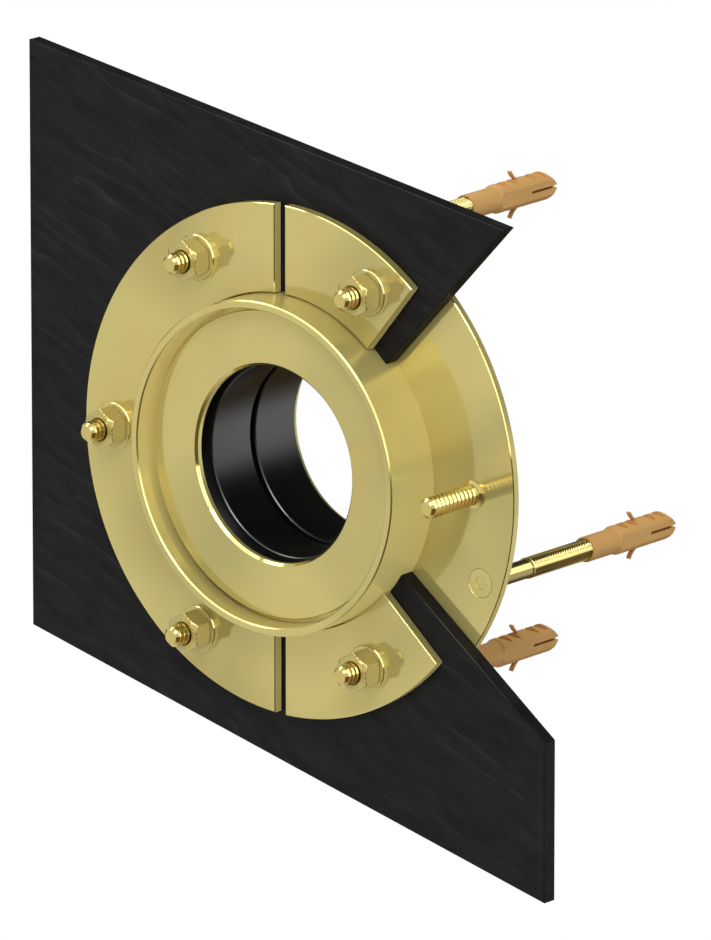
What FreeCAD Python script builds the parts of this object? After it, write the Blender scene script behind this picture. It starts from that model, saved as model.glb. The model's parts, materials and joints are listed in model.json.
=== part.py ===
import FreeCAD, Part
import Sketcher
import math
import os

# An annular gap seal for a pipe that passes through a wall, with a loose flange and a fixed
# flange that clamp a sealing sheet on the wall's outer face. Lengths are in millimetres.
# The pipe's axis is Y. The front, the side that the sheet lies on, looks along -Y, and +Z is up.
# The origin is on the pipe's axis, in the front face of the fixed flange.
# The loose flange and the sheet are cut open on the right, as in a sectioned display piece.

SIZES = [
    ("tube_radius", 79.5, "outside of the wall tube, a 159 mm steel tube"),
    ("tube_wall", 4.0, "wall of the tube"),
    ("tube_front", 30.0, "reach of the tube in front of the fixed flange's face"),
    ("tube_rear", 51.5, "reach of the tube behind that face, into the wall"),
    ("rim_bevel", 1.0, "bevels of the tube's front rim"),
    ("slip_gap", 0.1, "gap where one round piece slips into another"),
    ("fixed_width", 48.0, "width of the fixed flange outside the tube"),
    ("fixed_thick", 3.5, "thickness of the fixed flange"),
    ("plate_bevel", 0.4, "broken edges of flanges and plates"),
    ("sheet_thick", 8.0, "thickness of the sealing sheet"),
    ("sheet_round", 0.6, "rounding of the sheet's edges"),
    ("sheet_gap", 0.4, "gap between the sheet and the tube"),
    ("loose_width", 42.8, "reach of the loose flange outside the tube"),
    ("loose_thick", 5.0, "thickness of the loose flange"),
    ("loose_gap", 0.5, "gap between the loose flange and the tube"),
    ("split_left", 5.7, "distance from the axis to the left half's straight edges"),
    ("split_right", 0.6, "distance from the axis to the right pieces' straight edges"),
    ("cut_upper_angle", 50.9, "direction of the loose flange's upper cut, in degrees above +X"),
    ("cut_lower_angle", 41.1, "direction of the loose flange's lower cut, in degrees below +X"),
    ("sheet_left", 38.7, "sheet outside the loose flange, on the left"),
    ("sheet_right", 30.4, "sheet outside the loose flange, on the right"),
    ("sheet_peak", 53.1, "upper left corner of the sheet above the loose flange"),
    ("sheet_drop", 62.7, "lower right corner of the sheet below the loose flange"),
    ("sheet_foot", 13.2, "lower left corner of the sheet above the loose flange's lowest point"),
    ("notch_upper_x", 5.1, "outer end of the sheet's upper cut, beyond the flange's reach to the right"),
    ("notch_upper_z", 7.9, "the same end, above the flange's reach"),
    ("notch_lower_z", 14.1, "outer end of the sheet's lower cut, above the flange's lowest point"),
    ("notch_upper_angle", 43.9, "inner end of the upper cut at the tube, in degrees above +X"),
    ("notch_lower_angle", 32.9, "inner end of the lower cut at the tube, in degrees below +X"),
    ("stud_land", 23.9, "distance from the tube's outside to the stud centres"),
    ("stud_radius", 5.0, "M10 studs"),
    ("stud_proud", 7.1, "length of stud that stands out of its nut, above the bevel"),
    ("stud_bevel", 1.2, "bevel at the end of a stud"),
    ("weld_radius", 6.6, "weld collar at the foot of a stud"),
    ("weld_height", 2.0, "height of that collar"),
    ("stud_gap", 0.5, "gap round a stud or its collar in a punched hole"),
    ("thread_gap", 0.05, "gap between a stud and its nut"),
    ("washer_radius", 11.0, "washers under the nuts"),
    ("washer_thick", 2.4, "thickness of a washer"),
    ("nut_across", 17.0, "nuts, across the flats"),
    ("nut_thick", 10.4, "height of a nut"),
    ("nut_chamfer", 0.8, "how far the nut's end faces lie inside its flats"),
    ("chamfer_angle", 30.0, "slope of the nut's corner chamfer in degrees"),
    ("stop_front", 17.2, "front face of the stop ring, in front of the fixed flange's face"),
    ("stop_thick", 3.5, "thickness of the stop ring"),
    ("stop_width", 9.4, "width of the stop ring inside the tube"),
    ("cover_thick", 3.5, "thickness of the front cover disc"),
    ("cover_inset", 2.3, "gap between the cover disc and the tube's inside"),
    ("seal_gap", 0.2, "gap between the rubber and the tube before the seal is tightened"),
    ("rubber_width", 29.3, "width of the rubber rings, which leaves a bore for a 90 mm pipe"),
    ("seal_front_length", 34.0, "length of the front rubber ring"),
    ("seal_nose", 6.6, "length of the recess in the front ring's bore"),
    ("seal_recess", 5.0, "depth of the recesses in the bore"),
    ("seal_rear_length", 31.5, "length of the rear rubber ring"),
    ("seal_groove", 3.5, "width of the groove where the two rings meet"),
    ("seal_bevel", 0.5, "bevels of the rubber's bore edges"),
    ("plate_clear", 1.0, "how far the steel plates stay back from the rubber's bore and the tube"),
    ("rear_thick", 2.5, "thickness of the rear pressure plate"),
    ("clamp_gap", 3.8, "gap between a clamping stud and the stop ring"),
    ("clamp_radius", 3.0, "M6 clamping studs"),
    ("clamp_proud", 2.0, "length of clamping stud behind its nut"),
    ("clamp_washer_radius", 6.0, "washers on the clamping studs"),
    ("clamp_washer_thick", 1.6, "thickness of those washers"),
    ("clamp_across", 10.0, "clamping nuts, across the flats"),
    ("clamp_thick", 5.0, "height of a clamping nut"),
    ("screw_land", 36.0, "distance from the tube's outside to the wall screws"),
    ("screw_upper_angle", 72.3, "direction of the upper wall screw, in degrees above +X"),
    ("screw_side_angle", 21.2, "direction of the side wall screws, in degrees off the horizontal"),
    ("screw_lower_angle", 71.3, "direction of the lower wall screws, in degrees below the horizontal"),
    ("screw_radius", 5.0, "M10 wall screws"),
    ("screw_length", 80.0, "length of a wall screw"),
    ("head_height", 1.75, "height of the countersunk head, and how far it is wider than the shank"),
    ("screw_socket", 6.0, "hexagon socket of the screw, across the flats"),
    ("screw_socket_depth", 1.6, "depth of that socket"),
    ("screw_gap", 0.2, "gap round a wall screw in the fixed flange"),
    ("plug_wall", 0.9, "wall of a wall plug at its mouth"),
    ("plug_gap", 0.1, "gap between a wall screw and the mouth of its plug"),
    ("plug_grip", 4.5, "how far a screw is started in its plug"),
    ("plug_tip_bore", 2.2, "radius of the plug's bore between its teeth"),
    ("plug_swell", 0.9, "how far the teeth stand above the plain barrel"),
    ("barrel_length", 21.0, "plain barrel of a plug, up to its first tooth"),
    ("tooth_pitch", 6.6, "distance between teeth"),
    ("tooth_depth", 2.0, "depth of a notch behind a tooth"),
    ("nose_length", 6.0, "length of the plug's sloping nose"),
    ("nose_height", 1.4, "half the height of the nose's blunt end"),
    ("plug_flat", 0.1, "how far the flat sides beside the teeth lie inside the barrel"),
    ("slot_start", 42.0, "start of the slot that splits the plug's tip"),
    ("slot_width", 1.3, "width of that slot"),
    ("web_inset", 2.0, "distance from the plug's tip to the web that bridges the slot"),
    ("web_thick", 0.9, "thickness of that web"),
    ("barb_root", 42.5, "where the barbs start inside the plug's wall, behind its mouth"),
    ("barb_bend", 11.5, "radius of a barb's bend"),
    ("barb_angle", 62.0, "how far a barb bends, in degrees"),
    ("barb_thick", 0.9, "thickness of a barb"),
    ("barb_width", 2.2, "width of a barb"),
]

FULL_TURN = 360
STUD_TURNS = (60, 120, 180, 240, 300, 0)
NUT_COUNT = 5
CLAMP_COUNT = 4
CLAMP_TURN = 45
NOTCHED_TEETH = (0, 1, 3, 4)
TEETH_BEFORE_NOSE = 5
HEXAGON = 6
CORNER_UP = 30
NEAR_ZERO = 1e-7

doc = FreeCAD.newDocument("annular_gap_seal")
sheet = doc.addObject("Spreadsheet::Sheet", "Dim")
for line, (alias, size, meaning) in enumerate(SIZES, start=1):
    sheet.set(f"A{line}", alias)
    sheet.set(f"B{line}", str(size))
    sheet.set(f"C{line}", meaning)
    sheet.setAlias(f"B{line}", alias)
doc.recompute()

# Radii and planes that several pieces share, as expressions of the sheet's cells
BORE_OF_TUBE = "(Dim.tube_radius - Dim.tube_wall)"
FIXED_RADIUS = "(Dim.tube_radius + Dim.fixed_width)"
LOOSE_RADIUS = "(Dim.tube_radius + Dim.loose_width)"
LOOSE_HOLE = "(Dim.tube_radius + Dim.loose_gap)"
LOOSE_FRONT = "(Dim.sheet_thick + Dim.loose_thick)"
STUD_CIRCLE = "(Dim.tube_radius + Dim.stud_land)"
STUD_HOLE = "(Dim.stud_radius + Dim.stud_gap)"
WELD_HOLE = "(Dim.weld_radius + Dim.stud_gap)"
NUT_SEAT = f"({LOOSE_FRONT} + Dim.washer_thick)"
STUD_LENGTH = f"({NUT_SEAT} + Dim.nut_thick + Dim.stud_proud + Dim.stud_bevel)"
STOP_HOLE = f"({BORE_OF_TUBE} - Dim.slip_gap - Dim.stop_width)"
SEAL_RADIUS = f"({BORE_OF_TUBE} - Dim.seal_gap)"
PIPE_HOLE = f"({SEAL_RADIUS} - Dim.rubber_width)"
SEAL_WIDE_BORE = f"({PIPE_HOLE} + Dim.seal_recess)"
SEAL_JOINT = "(Dim.seal_front_length - Dim.stop_front)"
SEAL_BACK = f"({SEAL_JOINT} + Dim.seal_rear_length)"
REAR_BACK = f"({SEAL_BACK} + Dim.rear_thick)"
PLATE_BORE = f"({PIPE_HOLE} + Dim.plate_clear)"
CLAMP_CIRCLE = f"({STOP_HOLE} - Dim.clamp_gap - Dim.clamp_radius)"
CLAMP_HOLE = "(Dim.clamp_radius + Dim.slip_gap)"
CLAMP_SEAT = f"({REAR_BACK} + Dim.clamp_washer_thick)"
SCREW_CIRCLE = "(Dim.tube_radius + Dim.screw_land)"
SCREW_HOLE = "(Dim.screw_radius + Dim.screw_gap)"
PLUG_BORE = "(Dim.screw_radius + Dim.plug_gap)"
PLUG_BARREL = f"({PLUG_BORE} + Dim.plug_wall)"
PLUG_CREST = f"({PLUG_BARREL} + Dim.plug_swell)"
PLUG_NOSE = f"(Dim.barrel_length + {TEETH_BEFORE_NOSE} * Dim.tooth_pitch)"
PLUG_TIP = f"({PLUG_NOSE} + Dim.nose_length)"
PLUG_MOUTH = "(Dim.screw_length - Dim.plug_grip)"
SCREW_TURNS = (
    "Dim.screw_upper_angle",
    "(180 - Dim.screw_side_angle)",
    "(180 + Dim.screw_lower_angle)",
    "(-Dim.screw_lower_angle)",
    "(-Dim.screw_side_angle)",
)


def number(expression):
    """The present value of an expression, as a plain number."""
    found = sheet.evalExpression(expression)
    return float(getattr(found, "Value", found))


def point(across, up):
    return FreeCAD.Vector(number(across), number(up), 0)


def new_body(name):
    body = doc.addObject("PartDesign::Body", name)
    body.Label = name
    return body


def new_sketch(body, role, depth=None):
    """A sketch on one of the body's own planes. On XZ_Plane its normal looks to the front."""
    sketch = body.newObject("Sketcher::SketchObject", "sketch")
    plane = next(item for item in body.Origin.OriginFeatures if item.Role == role)
    sketch.AttachmentSupport = (plane, [""])
    sketch.MapMode = "FlatFace"
    if depth is not None:
        sketch.setExpression("AttachmentOffset.Base.z", depth)
    return sketch


def constrain(sketch, expression, *constraint):
    """Add a dimension whose value follows the sheet."""
    row = sketch.addConstraint(Sketcher.Constraint(*constraint, number(expression)))
    sketch.setExpression(f"Constraints[{row}]", expression)


def pin_corner(sketch, edge, end, across, up):
    """Hold one end of an edge at its two distances from the sketch's origin."""
    for kind, expression, axis in (("DistanceX", across, -2), ("DistanceY", up, -1)):
        if abs(number(expression)) < NEAR_ZERO:
            sketch.addConstraint(Sketcher.Constraint("PointOnObject", edge, end, axis))
        else:
            constrain(sketch, expression, kind, -1, 1, edge, end)


def draw_polygon(sketch, corners):
    """A closed outline of straight edges. Each corner is a pair of expressions."""
    first = sketch.GeometryCount
    spots = [point(*corner) for corner in corners]
    for spot, following in zip(spots, spots[1:] + spots[:1]):
        sketch.addGeometry(Part.LineSegment(spot, following), False)
    last = first + len(corners) - 1
    for edge, corner in enumerate(corners, start=first):
        before = last if edge == first else edge - 1
        sketch.addConstraint(Sketcher.Constraint("Coincident", before, 2, edge, 1))
        pin_corner(sketch, edge, 1, *corner)


def draw_circle(sketch, across, up, radius):
    edge = sketch.addGeometry(Part.Circle(point(across, up), FreeCAD.Vector(0, 0, 1), number(radius)), False)
    pin_corner(sketch, edge, 3, across, up)
    constrain(sketch, radius, "Radius", edge)


def draw_arc(sketch, radius, start_degrees, end_degrees, across="0", up="0"):
    """An anticlockwise arc about the origin or another centre, whose ends are still free to slide."""
    circle = Part.Circle(point(across, up), FreeCAD.Vector(0, 0, 1), number(radius))
    arc = Part.ArcOfCircle(circle, math.radians(start_degrees), math.radians(end_degrees))
    edge = sketch.addGeometry(arc, False)
    pin_corner(sketch, edge, 3, across, up)
    constrain(sketch, radius, "Radius", edge)
    return edge


def revolve(body, corners, kind="PartDesign::Revolution"):
    """Turn a profile about the pipe's direction. Corners are (distance to the back, radius)."""
    sketch = new_sketch(body, "YZ_Plane")
    draw_polygon(sketch, corners)
    doc.recompute()
    before = body.Shape.Volume if kind.endswith("Groove") else 0
    feature = body.newObject(kind, "turned")
    feature.Profile = sketch
    feature.ReferenceAxis = (sketch, ["H_Axis"])
    feature.Angle = FULL_TURN
    doc.recompute()
    if kind.endswith("Groove") and body.Shape.Volume > before - NEAR_ZERO:
        raise RuntimeError(f"{body.Label}: a turned groove cuts nothing")
    return feature


def pad(body, sketch, length, sides="One side"):
    feature = body.newObject("PartDesign::Pad", "pad")
    feature.Profile = sketch
    feature.SideType = sides
    feature.setExpression("Length", length)
    doc.recompute()
    return feature


def pocket(body, sketch, length=None, sides="One side"):
    """Cut a sketch out of the body, through all of it or to a depth, and see that it does."""
    before = body.Shape.Volume
    feature = body.newObject("PartDesign::Pocket", "pocket")
    feature.Profile = sketch
    feature.SideType = sides
    if length is None:
        feature.Type = "ThroughAll"
    else:
        feature.setExpression("Length", length)
    doc.recompute()
    if body.Shape.Volume > before - NEAR_ZERO:
        raise RuntimeError(f"{body.Label}: a pocket cuts nothing")
    return feature


def face_names(shape, test):
    return [f"Face{row}" for row, face in enumerate(shape.Faces, start=1) if test(face)]


def edge_names(shape, test):
    return [f"Edge{row}" for row, edge in enumerate(shape.Edges, start=1) if test(edge)]


def break_edges(body, feature, names, size, kind="PartDesign::Chamfer"):
    """Bevel or round the named edges, or all edges of the named faces."""
    edging = body.newObject(kind, "edging")
    edging.Base = (feature, names)
    edging.setExpression("Size" if kind.endswith("Chamfer") else "Radius", size)
    doc.recompute()
    return edging


def faces_along(feature, depth):
    """Names of the flat faces that look along Y and lie at a depth."""
    place = number(depth)

    def looks_along(face):
        flat = isinstance(face.Surface, Part.Plane) and abs(abs(face.normalAt(0, 0).y) - 1) < 1e-6
        return flat and abs(face.CenterOfMass.y - place) < 1e-4

    return face_names(feature.Shape, looks_along)


def on_circle(radius, turn):
    """Expressions for a place on a circle about the pipe's axis."""
    return f"{radius} * cos({turn})", f"{radius} * sin({turn})"


def put(body, across="0", back="0", up="0"):
    """Move a finished body to its place, bound to the sheet."""
    for letter, expression in zip("xyz", (across, back, up)):
        if expression != "0":
            body.setExpression(f"Placement.Base.{letter}", expression)


def ring_profile(front, back, inner, outer, bevel=None):
    """A flat ring between two depths, with its outer front edge broken or left square."""
    square = [(front, outer)]
    broken = [(front, f"{outer} - {bevel}"), (f"{front} + {bevel}", outer)]
    return [(front, inner)] + (broken if bevel else square) + [(back, outer), (back, inner)]


def drill_ring(body, depth, circle, radius, turns):
    """Holes of one size on a circle, cut to the back from a plane at a distance to the front."""
    sketch = new_sketch(body, "XZ_Plane", depth)
    for turn in turns:
        draw_circle(sketch, *on_circle(circle, turn), radius)
    pocket(body, sketch)


# The tube goes through the wall, and its collar stands out in front of the fixed flange
def make_wall_tube():
    body = new_body("wall_tube")
    front = "-Dim.tube_front"
    revolve(body, [
        (front, f"{BORE_OF_TUBE} + Dim.rim_bevel"),
        (front, "Dim.tube_radius - Dim.rim_bevel"),
        (f"{front} + Dim.rim_bevel", "Dim.tube_radius"),
        ("Dim.tube_rear", "Dim.tube_radius"),
        ("Dim.tube_rear", BORE_OF_TUBE),
        (f"{front} + Dim.rim_bevel", BORE_OF_TUBE),
    ])
    return body


# The fixed flange is welded round the tube and lies on the wall, held by countersunk screws
def make_fixed_flange():
    body = new_body("fixed_flange")
    hole = "(Dim.tube_radius + Dim.slip_gap)"
    revolve(body, ring_profile("0", "Dim.fixed_thick", hole, FIXED_RADIUS, "Dim.plate_bevel"))
    sketch = new_sketch(body, "XZ_Plane")
    for turn in SCREW_TURNS:
        draw_circle(sketch, *on_circle(SCREW_CIRCLE, turn), SCREW_HOLE)
    doc.recompute()
    before = body.Shape.Volume
    holes = body.newObject("PartDesign::Hole", "screw_holes")
    holes.Profile = sketch
    holes.DepthType = "ThroughAll"
    holes.HoleCutType = "Countersink"
    holes.HoleCutCustomValues = True
    holes.HoleCutCountersinkAngle = 90
    holes.setExpression("Diameter", f"2 * {SCREW_HOLE}")
    holes.setExpression("HoleCutDiameter", f"2 * ({SCREW_HOLE} + Dim.head_height)")
    doc.recompute()
    if body.Shape.Volume > before - NEAR_ZERO:
        raise RuntimeError("the screw holes cut nothing")
    return body


def make_stop_ring():
    body = new_body("stop_ring")
    outer = f"({BORE_OF_TUBE} - Dim.slip_gap)"
    back = "(Dim.stop_thick - Dim.stop_front)"
    revolve(body, ring_profile("-Dim.stop_front", back, STOP_HOLE, outer))
    return body


def make_front_cover():
    body = new_body("front_cover_disc")
    front = "-(Dim.stop_front + Dim.cover_thick)"
    outer = f"({BORE_OF_TUBE} - Dim.cover_inset)"
    revolve(body, ring_profile(front, "-Dim.stop_front", PLATE_BORE, outer, "Dim.plate_bevel"))
    return body


def clamp_turns():
    return [CLAMP_TURN + turn * FULL_TURN / CLAMP_COUNT for turn in range(CLAMP_COUNT)]


# The front rubber ring has a narrow nose that passes the stop ring, and a recessed bore there
def make_seal_front():
    body = new_body("seal_ring_front")
    front = "-Dim.stop_front"
    nose_back = f"{front} + Dim.seal_nose"
    shoulder = f"{front} + Dim.stop_thick + Dim.slip_gap"
    revolve(body, [
        (front, SEAL_WIDE_BORE),
        (front, f"{STOP_HOLE} - Dim.seal_gap"),
        (shoulder, f"{STOP_HOLE} - Dim.seal_gap"),
        (shoulder, SEAL_RADIUS),
        (SEAL_JOINT, SEAL_RADIUS),
        (SEAL_JOINT, f"{PIPE_HOLE} + Dim.seal_bevel"),
        (f"{SEAL_JOINT} - Dim.seal_bevel", PIPE_HOLE),
        (f"{nose_back} + Dim.seal_bevel", PIPE_HOLE),
        (nose_back, f"{PIPE_HOLE} + Dim.seal_bevel"),
        (nose_back, SEAL_WIDE_BORE),
    ])
    drill_ring(body, "Dim.stop_front", CLAMP_CIRCLE, CLAMP_HOLE, clamp_turns())
    return body


# The rear rubber ring starts with the groove that shows inside the bore
def make_seal_rear():
    body = new_body("seal_ring_rear")
    groove_back = f"{SEAL_JOINT} + Dim.seal_groove"
    revolve(body, [
        (SEAL_JOINT, SEAL_WIDE_BORE),
        (SEAL_JOINT, SEAL_RADIUS),
        (SEAL_BACK, SEAL_RADIUS),
        (SEAL_BACK, PIPE_HOLE),
        (f"{groove_back} + Dim.seal_bevel", PIPE_HOLE),
        (groove_back, f"{PIPE_HOLE} + Dim.seal_bevel"),
        (groove_back, SEAL_WIDE_BORE),
    ])
    drill_ring(body, f"-{SEAL_JOINT}", CLAMP_CIRCLE, CLAMP_HOLE, clamp_turns())
    return body


# The rear plate squeezes the rubber against the stop ring when the clamping nuts are turned
def make_rear_plate():
    body = new_body("rear_plate")
    outer = f"({BORE_OF_TUBE} - Dim.plate_clear)"
    revolve(body, ring_profile(SEAL_BACK, REAR_BACK, PLATE_BORE, outer))
    drill_ring(body, f"-{SEAL_BACK}", CLAMP_CIRCLE, CLAMP_HOLE, clamp_turns())
    return body


# Loose flange, split above and below the tube, with a third cut that opens the display piece
def draw_straight_edge(sketch, distance, outer_arc, inner_arc, outer_end, inner_end, sign):
    """A vertical edge that joins the two arcs of a flange piece at a distance from the axis."""
    across = number(distance)
    reach = [math.sqrt(number(radius) ** 2 - across ** 2) for radius in (LOOSE_RADIUS, LOOSE_HOLE)]
    ends = [FreeCAD.Vector(across, sign * length, 0) for length in reach]
    edge = sketch.addGeometry(Part.LineSegment(*ends), False)
    sketch.addConstraint(Sketcher.Constraint("Coincident", edge, 1, outer_arc, outer_end))
    sketch.addConstraint(Sketcher.Constraint("Coincident", edge, 2, inner_arc, inner_end))
    sketch.addConstraint(Sketcher.Constraint("Vertical", edge))
    constrain(sketch, distance, "DistanceX", -1, 1, edge, 1)


def draw_radial_edge(sketch, turn, outer_arc, inner_arc, outer_end, inner_end):
    """An edge along a radius that joins the two arcs of a flange piece."""
    corners = [on_circle(radius, turn) for radius in (LOOSE_RADIUS, LOOSE_HOLE)]
    edge = sketch.addGeometry(Part.LineSegment(point(*corners[0]), point(*corners[1])), False)
    sketch.addConstraint(Sketcher.Constraint("Coincident", edge, 1, outer_arc, outer_end))
    sketch.addConstraint(Sketcher.Constraint("Coincident", edge, 2, inner_arc, inner_end))
    constrain(sketch, corners[0][1], "DistanceY", -1, 1, edge, 1)
    constrain(sketch, corners[1][1], "DistanceY", -1, 1, edge, 2)


def finish_flange_piece(body, sketch, turns):
    plate = pad(body, sketch, "Dim.loose_thick")
    faces = faces_along(plate, f"-{LOOSE_FRONT}") + faces_along(plate, "-Dim.sheet_thick")
    break_edges(body, plate, faces, "Dim.plate_bevel")
    drill_ring(body, LOOSE_FRONT, STUD_CIRCLE, STUD_HOLE, turns)
    return body


def split_degrees(distance, radius):
    """Direction of the point where a vertical edge meets a circle above the axis."""
    return math.degrees(math.acos(number(distance) / number(radius)))


def make_loose_left():
    body = new_body("loose_flange_left")
    sketch = new_sketch(body, "XZ_Plane", "Dim.sheet_thick")
    edge_x = "-Dim.split_left"
    arcs = []
    for radius in (LOOSE_RADIUS, LOOSE_HOLE):
        top = split_degrees(edge_x, radius)
        arcs.append(draw_arc(sketch, radius, top, FULL_TURN - top))
    draw_straight_edge(sketch, edge_x, *arcs, 1, 1, 1)
    draw_straight_edge(sketch, edge_x, *arcs, 2, 2, -1)
    return finish_flange_piece(body, sketch, STUD_TURNS[1:4])


def make_loose_right(name, turn, stud_turn, upper):
    """A right-hand piece, from the split to the cut at a direction."""
    body = new_body(name)
    sketch = new_sketch(body, "XZ_Plane", "Dim.sheet_thick")
    split_x = "Dim.split_right"
    cut = number(turn)
    arcs = []
    for radius in (LOOSE_RADIUS, LOOSE_HOLE):
        split = split_degrees(split_x, radius)
        arcs.append(draw_arc(sketch, radius, *((cut, split) if upper else (-split, cut))))
    split_end, cut_end = (2, 1) if upper else (1, 2)
    draw_straight_edge(sketch, split_x, *arcs, split_end, split_end, 1 if upper else -1)
    draw_radial_edge(sketch, turn, *arcs, cut_end, cut_end)
    return finish_flange_piece(body, sketch, (stud_turn,))


# The sheet that the flanges clamp: a slanted piece of membrane with the same opening on the right
def make_membrane():
    body = new_body("membrane")
    sketch = new_sketch(body, "XZ_Plane")
    hole = "(Dim.tube_radius + Dim.sheet_gap)"
    left = f"-({LOOSE_RADIUS} + Dim.sheet_left)"
    right = f"({LOOSE_RADIUS} + Dim.sheet_right)"
    corners = [
        (f"{LOOSE_RADIUS} + Dim.notch_upper_x", f"{LOOSE_RADIUS} + Dim.notch_upper_z"),
        (left, f"{LOOSE_RADIUS} + Dim.sheet_peak"),
        (left, f"-({LOOSE_RADIUS} - Dim.sheet_foot)"),
        (right, f"-({LOOSE_RADIUS} + Dim.sheet_drop)"),
        (right, f"-({LOOSE_RADIUS} - Dim.notch_lower_z)"),
    ]
    upper_end = on_circle(hole, "Dim.notch_upper_angle")
    lower_end = on_circle(hole, "(-Dim.notch_lower_angle)")
    path = [point(*corner) for corner in [upper_end] + corners + [lower_end]]
    edges = [
        sketch.addGeometry(Part.LineSegment(start, end), False) for start, end in zip(path, path[1:])
    ]
    for before, edge in zip(edges, edges[1:]):
        sketch.addConstraint(Sketcher.Constraint("Coincident", before, 2, edge, 1))
    for edge, corner in zip(edges, corners):
        pin_corner(sketch, edge, 2, *corner)
    lower_degrees = FULL_TURN - number("Dim.notch_lower_angle")
    arc = draw_arc(sketch, hole, number("Dim.notch_upper_angle"), lower_degrees)
    sketch.addConstraint(Sketcher.Constraint("Coincident", arc, 1, edges[0], 1))
    sketch.addConstraint(Sketcher.Constraint("Coincident", arc, 2, edges[-1], 2))
    constrain(sketch, upper_end[1], "DistanceY", -1, 1, arc, 1)
    constrain(sketch, lower_end[1], "DistanceY", -1, 1, arc, 2)
    plate = pad(body, sketch, "Dim.sheet_thick")

    def at_rim(edge):
        along = abs(edge.BoundBox.YLength) < 1e-6
        return along and isinstance(edge.Curve, Part.Line)

    rims = edge_names(plate.Shape, at_rim)
    break_edges(body, plate, rims, "Dim.sheet_round", "PartDesign::Fillet")
    drill_ring(body, "Dim.sheet_thick", STUD_CIRCLE, WELD_HOLE, STUD_TURNS[:NUT_COUNT])
    return body


# M10 studs welded to the fixed flange, each with its washer and nut apart from the bare one
def make_stud(row, turn):
    body = new_body(f"stud_{row}")
    tip = f"-{STUD_LENGTH}"
    revolve(body, [
        (tip, "0"),
        (tip, "Dim.stud_radius - Dim.stud_bevel"),
        (f"{tip} + Dim.stud_bevel", "Dim.stud_radius"),
        ("-Dim.weld_height", "Dim.stud_radius"),
        ("-(Dim.weld_height - (Dim.weld_radius - Dim.stud_radius) / 2)", "Dim.weld_radius"),
        ("0", "Dim.weld_radius"),
        ("0", "0"),
    ])
    across, up = on_circle(STUD_CIRCLE, turn)
    put(body, across=across, up=up)
    return body


def make_washer(name, radius, hole, thick):
    body = new_body(name)
    revolve(body, ring_profile("0", thick, hole, radius, "Dim.plate_bevel"))
    return body


def draw_hexagon(sketch, across_flats):
    """A hexagon about the origin with one corner pointing up. Gives its corners' radius."""
    radius = f"({across_flats} / 2 / cos({FULL_TURN / HEXAGON / 2}))"
    turns = [CORNER_UP + side * FULL_TURN / HEXAGON for side in range(HEXAGON)]
    draw_polygon(sketch, [on_circle(radius, turn) for turn in turns])
    return radius


def make_nut(name, across_flats, thick, hole):
    """A hexagon nut with its corners chamfered at both ends."""
    body = new_body(name)
    sketch = new_sketch(body, "XZ_Plane")
    corner_radius = draw_hexagon(sketch, across_flats)
    draw_circle(sketch, "0", "0", hole)
    pad(body, sketch, thick)
    end_radius = f"({across_flats} / 2 - Dim.nut_chamfer)"
    wide = f"({corner_radius} + Dim.nut_chamfer)"
    depth = f"(({wide} - {end_radius}) * tan(Dim.chamfer_angle))"
    front = f"-{thick}"
    revolve(body, [(front, end_radius), (front, wide), (f"{front} + {depth}", wide)], "PartDesign::Groove")
    revolve(body, [("0", end_radius), ("0", wide), (f"-{depth}", wide)], "PartDesign::Groove")
    return body


def make_stud_fittings():
    made = []
    for row, turn in enumerate(STUD_TURNS, start=1):
        made.append(make_stud(row, turn))
    for row, turn in enumerate(STUD_TURNS[:NUT_COUNT], start=1):
        across, up = on_circle(STUD_CIRCLE, turn)
        washer = make_washer(f"washer_{row}", "Dim.washer_radius", STUD_HOLE, "Dim.washer_thick")
        put(washer, across, f"-{NUT_SEAT}", up)
        nut = make_nut(f"nut_{row}", "Dim.nut_across", "Dim.nut_thick", "(Dim.stud_radius + Dim.thread_gap)")
        put(nut, across, f"-{NUT_SEAT}", up)
        made += [washer, nut]
    return made


# Clamping studs, welded to the back of the cover disc and tightened from behind the rear plate
def make_clamp_set(row, turn):
    across, up = on_circle(CLAMP_CIRCLE, turn)
    stud = new_body(f"clamp_stud_{row}")
    foot = "-Dim.stop_front"
    tip = f"({CLAMP_SEAT} + Dim.clamp_thick + Dim.clamp_proud)"
    revolve(stud, [
        (foot, "0"),
        (foot, "Dim.clamp_radius"),
        (f"{tip} - Dim.stud_bevel", "Dim.clamp_radius"),
        (tip, "Dim.clamp_radius - Dim.stud_bevel"),
        (tip, "0"),
    ])
    put(stud, across=across, up=up)
    washer = make_washer(f"clamp_washer_{row}", "Dim.clamp_washer_radius", CLAMP_HOLE, "Dim.clamp_washer_thick")
    put(washer, across, REAR_BACK, up)
    bore = "(Dim.clamp_radius + Dim.thread_gap)"
    nut = make_nut(f"clamp_nut_{row}", "Dim.clamp_across", "Dim.clamp_thick", bore)
    put(nut, across, f"{CLAMP_SEAT} + Dim.clamp_thick", up)
    return [stud, washer, nut]


# Countersunk wall screws, flush with the fixed flange's front face
def make_wall_screw(row, turn):
    body = new_body(f"wall_screw_{row}")
    tip = "Dim.screw_length"
    revolve(body, [
        ("0", "0"),
        ("0", "Dim.screw_radius + Dim.head_height"),
        ("Dim.head_height", "Dim.screw_radius"),
        (f"{tip} - Dim.stud_bevel", "Dim.screw_radius"),
        (tip, "Dim.screw_radius - Dim.stud_bevel"),
        (tip, "0"),
    ])
    socket = new_sketch(body, "XZ_Plane")
    draw_hexagon(socket, "Dim.screw_socket")
    pocket(body, socket, "Dim.screw_socket_depth")
    across, up = on_circle(SCREW_CIRCLE, turn)
    put(body, across=across, up=up)
    return body


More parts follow.
